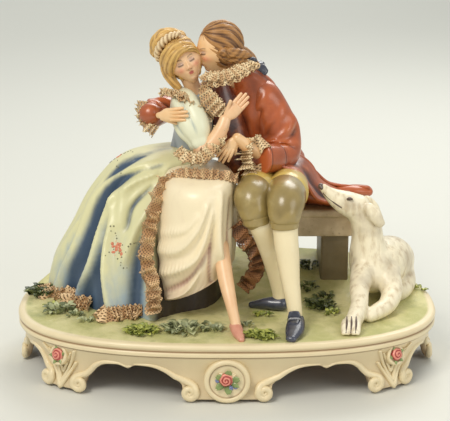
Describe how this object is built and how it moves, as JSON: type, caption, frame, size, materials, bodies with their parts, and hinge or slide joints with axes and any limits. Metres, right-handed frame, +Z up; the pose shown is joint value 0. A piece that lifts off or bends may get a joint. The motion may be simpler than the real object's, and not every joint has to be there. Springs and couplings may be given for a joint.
{
  "type": "courting couple figurine",
  "caption": "Painted porcelain group of an embracing couple in old-fashioned court dress on a stone bench, with a resting dog, on an oval scroll-footed plinth.",
  "frame": {"origin": "centre of the plinth's plan, on the surface that its feet stand on", "axes": "+X to the dog's side along the plinth, +Y to the back, +Z up; the couple face -Y"},
  "size_m": [0.42, 0.25, 0.3357],
  "materials": {
    "plinth_glaze": "satin ivory glaze with tan wiped into the grooves",
    "ground_paint": "matt green and ochre painted ground",
    "bench_stone": "satin grey-pink glaze",
    "painted_figures": "hand-painted satin glaze",
    "skin": "satin flesh glaze with blushed cheeks",
    "fair_hair": "satin gold and ochre brushed hair",
    "brown_hair": "satin brown brushed hair",
    "blue_silk": "satin glaze, pale yellow on the ridges and blue in the folds",
    "white_silk": "satin cream glaze with pink in the folds",
    "lace": "bisque net lace dipped in slip, wiped brown",
    "coat_cloth": "glossy rust glaze, dark in the folds",
    "waistcoat": "satin mustard glaze",
    "breeches": "glossy olive glaze",
    "stockings": "satin cream glaze",
    "shoes": "glossy slate glaze",
    "pink_shoes": "glossy pink glaze",
    "ribbon": "glossy black glaze",
    "dog_coat": "satin off-white with grey brushed into the fur",
    "leaves": "matt green and grey-green",
    "flowers": "matt pink and red petals"
  },
  "bodies": {
    "root": {"plinth": "plinth_glaze", "bench": "bench_stone", "couple": "painted_figures", "dog": "dog_coat", "leaf_clump_left": "leaves", "ivy_clump_left": "leaves", "moss_clump_front": "leaves", "ivy_clump_front": "leaves", "moss_clump_middle": "leaves", "moss_clump_right": "leaves"}
  },
  "joints": []
}
